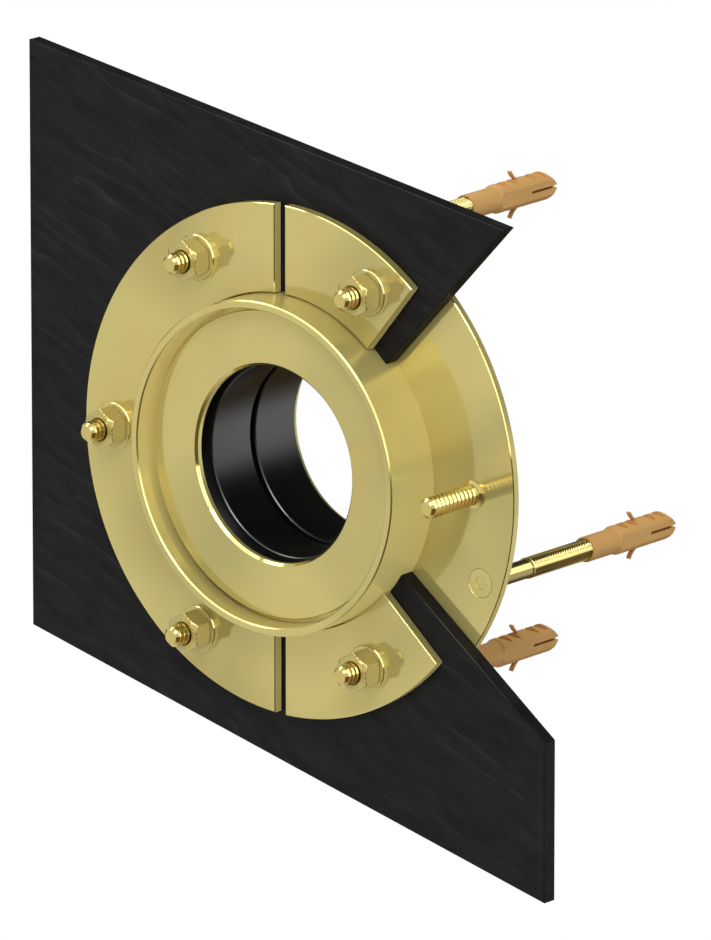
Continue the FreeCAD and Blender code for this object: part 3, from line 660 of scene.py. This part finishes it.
def nut_mesh():
    low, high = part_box("nut_1")
    front, back = low[1], high[1]
    flats = high[0] - low[0]
    outline = hexagon(flats, NUT_CORNER)
    face = flats / 2 - NUT_CHAMFER
    cone = (outline(NUT_CORNER) - face) * NUT_SLOPE

    def cut_back(inset):
        return lambda turn: min(outline(turn), face + inset / NUT_SLOPE)

    insets = [cone * row / NUT_ROWS for row in range(1, NUT_ROWS + 1)]
    bore = STUD_RADIUS + NUT_GAP
    start = (front, bore + NUT_SINK)
    rings = [start, (front, face)]
    rings += [(front + inset, cut_back(inset)) for inset in insets]
    rings += [(back - inset, cut_back(inset)) for inset in reversed(insets)]
    rings += [(back, face), (back, bore), (front + NUT_SINK, bore), start]
    return turned("chamfered_nut", rings, AROUND_NUT)


nut = nut_mesh()
for node in nodes_called("nut_"):
    stand_in(node, nut, nut_metal, "chamfered")
print("nuts:", len(nodes_called("nut_")), "faces each", len(nut.polygons))

# %% [markdown]
# The tube's rim and the cover disc's bore have bevels that flash where they face a lamp. Their widths decide
# how fine those lines of light are, and so both rings are turned again. The tube's bevels are narrow, and
# the one of the bore is broad.

# %% Rings with new bevels
TUBE_EDGE = mm(0.6)
COVER_BORE_EDGE = mm(1.2)
COVER_EDGE = mm(0.4)
AROUND_RING = 256


def ring_mesh(node, bore_edge, outer_edge):
    """A ring of a solid's size, with a bevel at both edges of its front."""
    low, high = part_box(node)
    front, back = low[1], high[1]
    outer = high[0]
    bore = min(math.hypot(vert.co.x, vert.co.z) for vert in frame["nodes"][node].data.vertices)
    rings = [(back, bore), (front + bore_edge, bore)]
    rings += [(front, bore + bore_edge), (front, outer - outer_edge)]
    rings += [(front + outer_edge, outer), (back, outer), (back, bore)]
    return turned("bevelled_" + node, rings, AROUND_RING)


tube = ring_mesh("wall_tube", TUBE_EDGE, TUBE_EDGE)
stand_in("wall_tube", tube, tube_metal, "bevelled")
cover = ring_mesh("front_cover_disc", COVER_BORE_EDGE, COVER_EDGE)
stand_in("front_cover_disc", cover, plate_metal, "bevelled")
print("rings turned again: wall_tube, front_cover_disc")

# %% [markdown]
# ## The creased sheet
# The sealing sheet is a thick membrane, and its face has long shallow creases that run slanting down to the
# right. The CAD solid has the true outline, but its front is one flat face of a few long triangles, and
# nothing can be pressed into those. So the front face is laid out again as a fine triangle mesh inside the
# same outline, and its inner points are pressed in. The points on the border stay where they were, and so
# the rounded edges still fit.

# %% Find the outline of a flat face
def place_key(point):
    return tuple(round(value / SAME_PLACE) for value in point)


def front_loops(solid, depth):
    """The border loops of the face that lies at a depth, each a list of (x, z)."""
    mesh = solid.data
    uses = {}
    for polygon in mesh.polygons:
        corners = [mesh.vertices[row].co for row in polygon.vertices]
        if all(abs(corner.y - depth) < SAME_PLACE for corner in corners):
            keys = [place_key((corner.x, corner.z)) for corner in corners]
            for start, end in zip(keys, keys[1:] + keys[:1]):
                uses[(start, end)] = uses.get((start, end), 0) + 1
    following = {start: end for start, end in uses if (end, start) not in uses}
    loops = []
    while following:
        first, key = following.popitem()
        loop = [first]
        while key != first:
            loop.append(key)
            key = following.pop(key)
        loops.append([(x * SAME_PLACE, z * SAME_PLACE) for x, z in loop])
    return loops


# %% [markdown]
# The large creases have the same slanting run as the fine ridges of the finish. They are a row of shallow
# steps, bent by noise, and a second noise lets them fade out.

# %% How far the face is pressed in
CREASE_SPACING = mm(21.0)
CREASE_HEIGHT = mm(0.35)
CREASE_RISE = 0.75
LONG_BEND = mm(80.0)
LONG_BEND_SIZE = 1.3
SHORT_BEND = mm(24.0)
SHORT_BEND_SIZE = 0.3
PRESENCE_MIDDLE = 0.5
PRESENCE_SWING = 1.5


def bend(along, across, spacing):
    return noise.noise(Vector((along * RIDGE_STRETCH, across, 0.0)) / spacing)


def eased(share):
    """A share from 0 to 1 with a soft start and a soft end."""
    return share * share * (3 - 2 * share)


def crease(x, z):
    """How deep a place lies below the highest creases."""
    along = x * math.cos(CREASE_TURN) + z * math.sin(CREASE_TURN)
    across = z * math.cos(CREASE_TURN) - x * math.sin(CREASE_TURN)
    step = across / CREASE_SPACING + LONG_BEND_SIZE * bend(along, across, LONG_BEND)
    step = (step + SHORT_BEND_SIZE * bend(along, across, SHORT_BEND)) % 1.0
    height = eased(min(step / CREASE_RISE, (1 - step) / (1 - CREASE_RISE)))
    presence = PRESENCE_MIDDLE + PRESENCE_SWING * bend(along, across + LONG_BEND, LONG_BEND / 2)
    presence = min(1.0, max(0.0, presence))
    return CREASE_HEIGHT * (1 - height * presence)


# %% [markdown]
# The new points form a lattice of equal triangles, which takes the creases evenly. Three helpers lay it out:
# one measures how far a place is from the border, one tells inside from outside, and one fills the inside
# with points that keep clear of the border.

# %% Lay out the face
FACE_STEP = mm(2.0)
BORDER_GAP = FACE_STEP * 0.6
TRIANGLE_HEIGHT = math.sqrt(0.75)


def border_finder(loops):
    """A tree of points along the loops, which gives the distance from the border."""
    spots = []
    for loop in loops:
        for start, end in zip(loop, loop[1:] + loop[:1]):
            length = math.dist(start, end)
            count = max(1, math.ceil(length / FACE_STEP))
            for row in range(count):
                share = row / count
                x = start[0] + (end[0] - start[0]) * share
                z = start[1] + (end[1] - start[1]) * share
                spots.append((x, z))
    tree = kdtree.KDTree(len(spots))
    for row, (x, z) in enumerate(spots):
        tree.insert((x, 0.0, z), row)
    tree.balance()
    return tree


def inside(x, z, loops):
    """True inside the outer loop and outside the holes."""
    crossings = 0
    for loop in loops:
        for (x0, z0), (x1, z1) in zip(loop, loop[1:] + loop[:1]):
            if (z0 > z) != (z1 > z) and x < x0 + (z - z0) / (z1 - z0) * (x1 - x0):
                crossings += 1
    return crossings % 2 == 1


def inner_points(loops, tree):
    """A triangular lattice of points that keeps clear of the border."""
    across = [x for loop in loops for x, z in loop]
    up = [z for loop in loops for x, z in loop]
    rise = FACE_STEP * TRIANGLE_HEIGHT
    points = []
    for row in range(int((max(up) - min(up)) / rise)):
        z = min(up) + row * rise
        shift = FACE_STEP / 2 * (row % 2)
        for column in range(int((max(across) - min(across)) / FACE_STEP)):
            x = min(across) + column * FACE_STEP + shift
            if tree.find((x, 0.0, z))[2] > BORDER_GAP and inside(x, z, loops):
                points.append((x, z))
    return points


# %% [markdown]
# The border and the lattice are joined by a triangulation that respects the border's edges. Each point then
# sinks by the crease at its place, which fades to nothing towards the border.

# %% Press the face in
FADE_WIDTH = mm(3.5)


def creased_front(solid):
    """Vertices and triangles of the new front face."""
    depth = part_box(solid.name)[0][1]
    loops = front_loops(solid, depth)
    tree = border_finder(loops)
    points = [spot for loop in loops for spot in loop]
    edges = []
    start = 0
    for loop in loops:
        count = len(loop)
        edges += [(start + row, start + (row + 1) % count) for row in range(count)]
        start += count
    points += inner_points(loops, tree)
    flat = [Vector(spot) for spot in points]
    laid = geometry.delaunay_2d_cdt(flat, edges, [], 0, SAME_PLACE / 10)
    spots, triangles = laid[0], laid[2]
    vertices = []
    for spot in spots:
        fade = eased(min(1.0, tree.find((spot.x, 0.0, spot.y))[2] / FADE_WIDTH))
        vertices.append((spot.x, depth + fade * crease(spot.x, spot.y), spot.y))
    kept = []
    for triangle in triangles:
        middle = sum((spots[row] for row in triangle), Vector((0.0, 0.0))) / len(triangle)
        if inside(middle.x, middle.y, loops):
            kept.append(triangle)
    return vertices, kept, depth


def press_sheet():
    """The sheet as a new piece: the solid's sides and back, and the creased front."""
    solid = frame["nodes"]["membrane"]
    vertices, triangles, depth = creased_front(solid)
    made = bmesh.new()
    made.from_mesh(solid.data)
    front = [face for face in made.faces if all(abs(vert.co.y - depth) < SAME_PLACE for vert in face.verts)]
    bmesh.ops.delete(made, geom=front, context="FACES")
    new = [made.verts.new(place) for place in vertices]
    for triangle in triangles:
        made.faces.new([new[row] for row in triangle])
    bmesh.ops.remove_doubles(made, verts=made.verts, dist=SAME_PLACE * 2)
    bmesh.ops.recalc_face_normals(made, faces=made.faces)
    mesh = bpy.data.meshes.new("creased_sheet")
    made.to_mesh(mesh)
    made.free()
    piece = bpy.data.objects.new("creased_membrane", mesh)
    bpy.context.scene.collection.objects.link(piece)
    coat(piece, sheet_black)
    shade(piece)
    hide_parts("membrane")
    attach(piece, "root")
    return piece


sheet_piece = press_sheet()
print("faces of the creased sheet:", len(sheet_piece.data.polygons))

# %% [markdown]
# ## Floor, light and camera
# The part hangs in front of its wall, so the floor lies well below it and the picture shows only white. The
# camera and reflections see a floor that glows, and only scattered light meets a grey one. Two mats lie on it
# that no ray but a glossy one sees.

# %% Floor
FRONT_MAT_SIDE = (-0.3, 0.5)
BACK_MAT_SIDE = (0.1, 0.9)
MAT_BACK = (0.2, 0.6)
MAT_FRONT = (-0.42, -0.22)
MAT_ORANGE = (0.75, 0.42, 0.15)
MAT_BROWN = (0.11, 0.075, 0.03)
FLOOR_WHITE = 0.5
FLOOR_HAZE = 0.9
WHITE = (1.0, 1.0, 1.0)


def stage_white():
    finish = Finish("studio_white")
    tree = finish.tree
    glow = tree.nodes.new("ShaderNodeEmission")
    finish.wear(Base_Color=(FLOOR_WHITE, FLOOR_WHITE, FLOOR_WHITE, 1.0), Roughness=FLOOR_HAZE)
    across = finish.part(finish.place, "X")
    back = finish.part(finish.place, "Y")
    behind = finish.ramp(back, MAT_BACK, smooth=True)
    below = finish.ramp(back, MAT_FRONT, smooth=True)
    front_mat = finish.ramp(across, FRONT_MAT_SIDE, smooth=True) * (1 - behind)
    back_mat = (1 - finish.ramp(across, BACK_MAT_SIDE, smooth=True)) * behind
    mat = finish.blend(front_mat * below, MAT_BROWN, MAT_ORANGE)
    camera_ray = finish.node("ShaderNodeLightPath", {}, {}, "Is Camera Ray")
    glossy_ray = finish.node("ShaderNodeLightPath", {}, {}, "Is Glossy Ray")
    through_ray = finish.node("ShaderNodeLightPath", {}, {}, "Is Transmission Ray")
    seen = camera_ray + glossy_ray + through_ray
    finish.feed(glow.inputs["Color"], finish.blend(glossy_ray * (front_mat + back_mat), WHITE, mat))
    mix = tree.nodes.new("ShaderNodeMixShader")
    tree.links.new(seen.socket, mix.inputs[0])
    tree.links.new(finish.shader.outputs[0], mix.inputs[1])
    tree.links.new(glow.outputs[0], mix.inputs[2])
    tree.links.new(mix.outputs[0], tree.nodes["Material Output"].inputs["Surface"])
    return finish.material


FLOOR_DROP = 0.75
FLOOR_REACH = 30.0


def lay_floor():
    mesh = bpy.data.meshes.new("floor")
    half = FLOOR_REACH
    corners = [(x, y, -FLOOR_DROP) for x, y in ((-half, -half), (half, -half), (half, half), (-half, half))]
    mesh.from_pydata(corners, [], [(0, 1, 2, 3)])
    floor = bpy.data.objects.new("floor", mesh)
    bpy.context.scene.collection.objects.link(floor)
    coat(floor, stage_white())


lay_floor()
print("floor below the part, in metres:", FLOOR_DROP)

# %% [markdown]
# The room is white, with a dark curtain behind the part and above the horizon. Together with the two brown
# mats on the floor, behind the part to the left and in front of it to the right, it gives the mirrors
# something to show. The rubber's bore shows pale floor, mat and curtain, which is what makes black rubber
# read as a round hole. Metal that faces up shows the curtain too, and so it is darker than metal that faces
# the viewer. The mat in front is orange below the part, which gives the threads their warm undersides, and
# dark nearer to the viewer, where it draws the fine line along bevels that face right.

# %% The room
ROOM_GLOW = 0.7
ROOM_MIRRORED = 0.95
CURTAIN_SIDE = (0.15, 0.5)
CURTAIN_RISE = (-0.02, 0.3)


def set_room():
    world = bpy.data.worlds.new("studio")
    bpy.context.scene.world = world
    world.use_nodes = True
    tree = world.node_tree
    background = tree.nodes["Background"]
    background.inputs["Color"].default_value = (*WHITE, 1.0)

    def maths(operation, first, second):
        made = tree.nodes.new("ShaderNodeMath")
        made.operation = operation
        for row, given in enumerate((first, second)):
            if isinstance(given, float):
                made.inputs[row].default_value = given
            else:
                tree.links.new(given, made.inputs[row])
        return made.outputs[0]

    def ramp(given, start, end):
        made = tree.nodes.new("ShaderNodeMapRange")
        made.interpolation_type = "SMOOTHSTEP"
        tree.links.new(given, made.inputs[0])
        made.inputs[1].default_value = start
        made.inputs[2].default_value = end
        return made.outputs[0]

    look = tree.nodes.new("ShaderNodeTexCoord")
    split = tree.nodes.new("ShaderNodeSeparateXYZ")
    tree.links.new(look.outputs["Generated"], split.inputs[0])
    behind = ramp(split.outputs["Y"], *CURTAIN_SIDE)
    above = ramp(split.outputs["Z"], *CURTAIN_RISE)
    curtain = maths("MULTIPLY", behind, above)
    open_room = maths("SUBTRACT", 1.0, curtain)
    mirrored = maths("MULTIPLY", open_room, ROOM_MIRRORED - ROOM_GLOW)
    ray = tree.nodes.new("ShaderNodeLightPath")
    shown = maths("MULTIPLY", ray.outputs["Is Camera Ray"], 1.0 - ROOM_GLOW)
    gloss = maths("MULTIPLY", ray.outputs["Is Glossy Ray"], mirrored)
    dark = maths("MULTIPLY", ray.outputs["Is Glossy Ray"], curtain)
    hidden = maths("MULTIPLY", dark, ROOM_GLOW)
    bright = maths("ADD", shown, gloss)
    level = maths("ADD", bright, ROOM_GLOW)
    strength = maths("SUBTRACT", level, hidden)
    tree.links.new(strength, background.inputs["Strength"])


set_room()
print("room glows at", ROOM_GLOW, "and", ROOM_MIRRORED, "in mirrors")

# %% [markdown]
# The lamps are soft boxes. The key lamp stands high in front to the right and the edge lamp high to the left:
# the bevels that face them flash. Two flash lamps, on the arc beside and between them, only show in
# reflections and make those lines of light longer. The front lamp evens out the faces and stays out of
# reflections.
# Light linking lets a lamp light some pieces only. The two flash lamps and the side lamp light plates, tube
# and nuts. The side lamp fills the walls that face right, casts no shadow and stays out of reflections too.
# The wide glint lamp draws white stripes along the upper flanks of the threads, and the nut lamp makes the
# cut corners of the nuts flash.

# %% Lamps
LAMP_DISTANCE = 1.6


def softbox(name, direction, size, power):
    """A square lamp that looks at the origin from a direction."""
    lamp = bpy.data.lights.new(name, "AREA")
    lamp.shape = "SQUARE"
    lamp.size = size
    lamp.energy = power
    holder = bpy.data.objects.new(name, lamp)
    place = Vector(direction).normalized() * LAMP_DISTANCE
    holder.location = place
    holder.rotation_euler = place.to_track_quat("Z", "Y").to_euler()
    bpy.context.scene.collection.objects.link(holder)
    return holder


softbox("key_lamp", (0.34, -0.63, 0.70), size=0.65, power=8.2)
softbox("edge_lamp", (-0.62, -0.26, 0.74), size=0.45, power=3.0)
front_lamp = softbox("front_lamp", (0.0, -0.97, -0.2), size=0.8, power=2.5)
front_lamp.visible_glossy = False
side_lamp = softbox("side_lamp", (0.81, -0.20, -0.54), size=0.5, power=19.0)
side_lamp.visible_glossy = False
side_lamp.data.use_shadow = False
glint_lamp = softbox("glint_lamp", (0.68, 0.36, 0.64), size=2.2, power=58.0)
nut_lamp = softbox("nut_lamp", (0.08, -0.88, 0.46), size=0.4, power=2.5)
right_flash = softbox("right_flash", (0.69, -0.67, 0.27), size=0.9, power=7.0)
right_flash.visible_diffuse = False
top_flash = softbox("top_flash", (-0.15, -0.47, 0.87), size=0.95, power=7.5)
top_flash.visible_diffuse = False


def shine_only_on(lamp, materials):
    """Link a lamp to the pieces that wear any of these materials."""
    lit = bpy.data.collections.new(lamp.name + "_lights")
    names = {material.name for material in materials}
    for piece in bpy.context.scene.objects:
        if piece.type == "MESH" and names & {slot.name for slot in piece.material_slots}:
            lit.objects.link(piece)
    lamp.light_linking.receiver_collection = lit


for lamp in (side_lamp, right_flash, top_flash):
    shine_only_on(lamp, (plate_metal, cut_metal, tube_metal, nut_metal))
shine_only_on(glint_lamp, (rod_metal, shaded_screw_metal))
shine_only_on(nut_lamp, (nut_metal,))

# %% [markdown]
# The camera stands six metres off with a very long lens, because the edges that run away from it hardly
# meet in the picture. It looks from 40 degrees to the right of the pipe's direction and from 15 degrees
# above it. Its lens is given in pixels, which is how far the picture would have to stand from the eye.

# %% Camera
TURN = math.radians(40.25)
LIFT = math.radians(15.2)
DISTANCE = 6.09
AIM_RIGHT = mm(24.76)
AIM_DOWN = mm(6.49)
FOCAL_PIXELS = 13125.0
IMAGE_WIDTH = 711
SENSOR = 36.0
NEAREST = 0.1
FARTHEST = 100.0
VIEW_RIGHT = Vector((math.cos(TURN), math.sin(TURN), 0.0))
VIEW_UP = Vector((-math.sin(TURN) * math.sin(LIFT), math.cos(TURN) * math.sin(LIFT), math.cos(LIFT)))
VIEW_BACK = Vector((math.sin(TURN) * math.cos(LIFT), -math.cos(TURN) * math.cos(LIFT), math.sin(LIFT)))


def set_camera():
    lens = bpy.data.cameras.new("camera")
    lens.sensor_fit = "HORIZONTAL"
    lens.sensor_width = SENSOR
    lens.lens = FOCAL_PIXELS / IMAGE_WIDTH * SENSOR
    lens.clip_start = NEAREST
    lens.clip_end = FARTHEST
    camera = bpy.data.objects.new("camera", lens)
    aim = VIEW_RIGHT * AIM_RIGHT - VIEW_UP * AIM_DOWN
    camera.location = aim + VIEW_BACK * DISTANCE
    camera.rotation_euler = VIEW_BACK.to_track_quat("Z", "Y").to_euler()
    bpy.context.scene.collection.objects.link(camera)
    bpy.context.scene.camera = camera
    print("lens in mm:", round(lens.lens, 1))


set_camera()
bpy.context.scene.view_settings.view_transform = "Standard"
